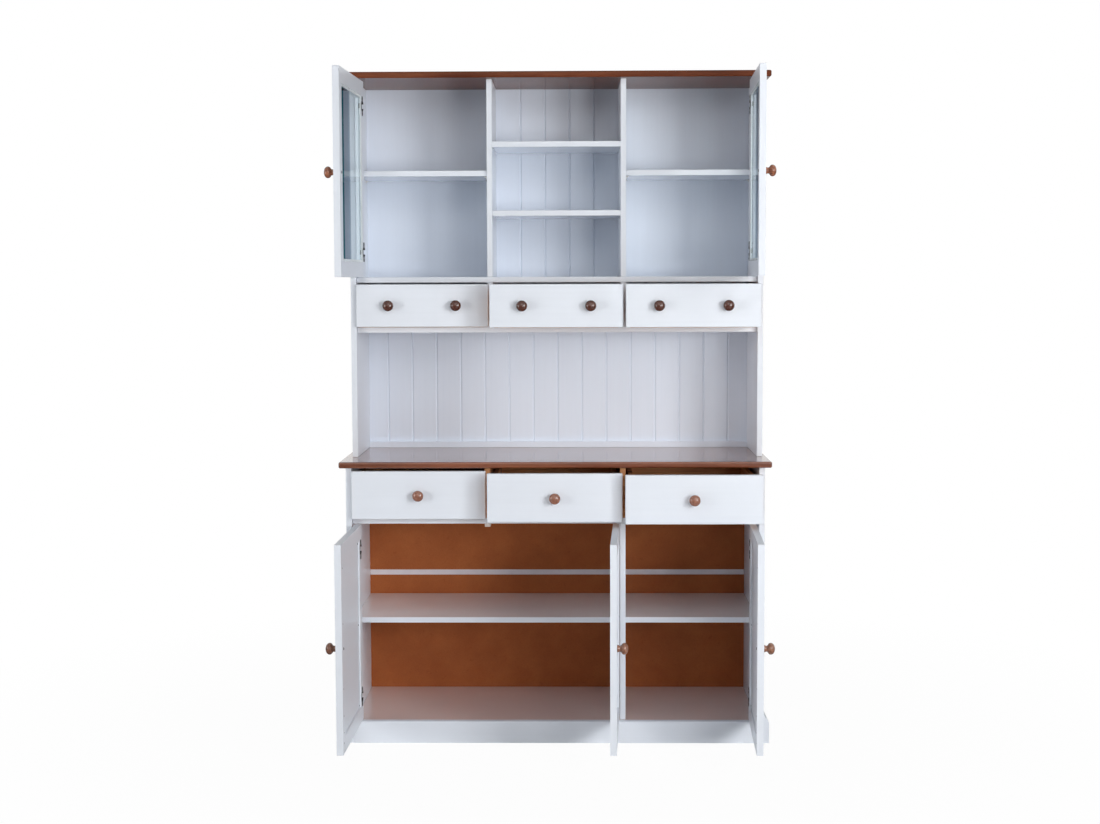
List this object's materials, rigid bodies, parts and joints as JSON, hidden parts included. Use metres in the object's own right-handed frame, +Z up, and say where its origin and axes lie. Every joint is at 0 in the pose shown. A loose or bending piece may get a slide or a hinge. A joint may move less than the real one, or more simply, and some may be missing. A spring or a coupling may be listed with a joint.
{
  "type": "kitchen dresser",
  "caption": "Kitchen dresser: a base with drawers and panelled doors, and a hutch with an open niche, drawers, open shelves and glazed cupboards.",
  "frame": {"origin": "on the floor at the middle of the front plinth board's underside", "axes": "+Z up, +Y towards the wall behind the dresser, +X to the viewer's right"},
  "size_m": [1.241, 0.7985, 1.936],
  "materials": {
    "white_paint": "satin white paint",
    "brown_stain": "semi-gloss brown stain",
    "natural_pine": "bare pine",
    "brown_hardboard": "smooth unpainted hardboard",
    "dark_knob_wood": "dark brown lacquer",
    "pale_knob_wood": "paler brown lacquer",
    "clear_glass": "clear polished"
  },
  "bodies": {
    "carcass": {"base_side_left": "white_paint", "base_side_right": "white_paint", "base_worktop": "brown_stain", "base_floor": "white_paint", "base_plinth": "white_paint", "base_drawer_board": "white_paint", "base_partition": "white_paint", "base_divider_left": "natural_pine", "base_divider_right": "natural_pine", "base_back_panel": "brown_hardboard", "base_shelf_left": "white_paint", "base_shelf_right": "white_paint", "hutch_side_left": "white_paint", "hutch_side_right": "white_paint", "hutch_top": "brown_stain", "hutch_floor": "white_paint", "hutch_drawer_board": "white_paint", "hutch_divider_left": "white_paint", "hutch_divider_right": "white_paint", "hutch_back_panel": "white_paint", "hutch_shelf_lower": "white_paint", "hutch_shelf_upper": "white_paint", "hutch_shelf_left": "white_paint", "hutch_shelf_right": "white_paint"},
    "door_hutch_left": {"door_hutch_left_frame": "white_paint", "door_hutch_left_glass": "clear_glass", "door_hutch_left_knob": "dark_knob_wood"},
    "door_hutch_right": {"door_hutch_right_frame": "white_paint", "door_hutch_right_glass": "clear_glass", "door_hutch_right_knob": "dark_knob_wood"},
    "door_base_left": {"door_base_left_frame": "white_paint", "door_base_left_panel": "white_paint", "door_base_left_knob": "pale_knob_wood"},
    "door_base_middle": {"door_base_middle_frame": "white_paint", "door_base_middle_panel": "white_paint", "door_base_middle_knob": "pale_knob_wood"},
    "door_base_right": {"door_base_right_frame": "white_paint", "door_base_right_panel": "white_paint", "door_base_right_knob": "pale_knob_wood"},
    "drawer_base_left": {"drawer_base_left_front": "white_paint", "drawer_base_left_box": "natural_pine", "drawer_base_left_knob": "dark_knob_wood"},
    "drawer_base_middle": {"drawer_base_middle_front": "white_paint", "drawer_base_middle_box": "natural_pine", "drawer_base_middle_knob": "dark_knob_wood"},
    "drawer_base_right": {"drawer_base_right_front": "white_paint", "drawer_base_right_box": "natural_pine", "drawer_base_right_knob": "dark_knob_wood"},
    "drawer_hutch_left": {"drawer_hutch_left_front": "white_paint", "drawer_hutch_left_box": "natural_pine", "drawer_hutch_left_knob_left": "dark_knob_wood", "drawer_hutch_left_knob_right": "dark_knob_wood"},
    "drawer_hutch_middle": {"drawer_hutch_middle_front": "white_paint", "drawer_hutch_middle_box": "natural_pine", "drawer_hutch_middle_knob_left": "dark_knob_wood", "drawer_hutch_middle_knob_right": "dark_knob_wood"},
    "drawer_hutch_right": {"drawer_hutch_right_front": "white_paint", "drawer_hutch_right_box": "natural_pine", "drawer_hutch_right_knob_left": "dark_knob_wood", "drawer_hutch_right_knob_right": "dark_knob_wood"}
  },
  "joints": [
    {"name": "door_hutch_left_hinge", "type": "hinge", "parent": "carcass", "child": "door_hutch_left", "pos_m": [-0.5705, 0.111, 1.62875], "axis": [0, 0, -1], "range_deg": [-92.6, 12.4]},
    {"name": "door_hutch_right_hinge", "type": "hinge", "parent": "carcass", "child": "door_hutch_right", "pos_m": [0.5805, 0.111, 1.62875], "axis": [0, 0, 1], "range_deg": [-88.1, 16.9]},
    {"name": "door_base_left_hinge", "type": "hinge", "parent": "carcass", "child": "door_base_left", "pos_m": [-0.5755, -0.009, 0.35525], "axis": [0, 0, -1], "range_deg": [-90.9, 14.1]},
    {"name": "door_base_middle_hinge", "type": "hinge", "parent": "carcass", "child": "door_base_middle", "pos_m": [0.18437, -0.009, 0.35525], "axis": [0, 0, 1], "range_deg": [-87.5, 12.5]},
    {"name": "door_base_right_hinge", "type": "hinge", "parent": "carcass", "child": "door_base_right", "pos_m": [0.5755, -0.009, 0.35525], "axis": [0, 0, 1], "range_deg": [-87.4, 17.6]},
    {"name": "drawer_base_left_slide", "type": "slide", "parent": "carcass", "child": "drawer_base_left", "axis": [0, -1, 0], "range_m": [-0.016, 0.284]},
    {"name": "drawer_base_middle_slide", "type": "slide", "parent": "carcass", "child": "drawer_base_middle", "axis": [0, -1, 0], "range_m": [-0.08, 0.22]},
    {"name": "drawer_base_right_slide", "type": "slide", "parent": "carcass", "child": "drawer_base_right", "axis": [0, -1, 0], "range_m": [-0.121, 0.179]},
    {"name": "drawer_hutch_left_slide", "type": "slide", "parent": "carcass", "child": "drawer_hutch_left", "axis": [0, -1, 0], "range_m": [-0.015, 0.185]},
    {"name": "drawer_hutch_middle_slide", "type": "slide", "parent": "carcass", "child": "drawer_hutch_middle", "axis": [0, -1, 0], "range_m": [-0.1, 0.1]},
    {"name": "drawer_hutch_right_slide", "type": "slide", "parent": "carcass", "child": "drawer_hutch_right", "axis": [0, -1, 0], "range_m": [-0.115, 0.085]}
  ]
}
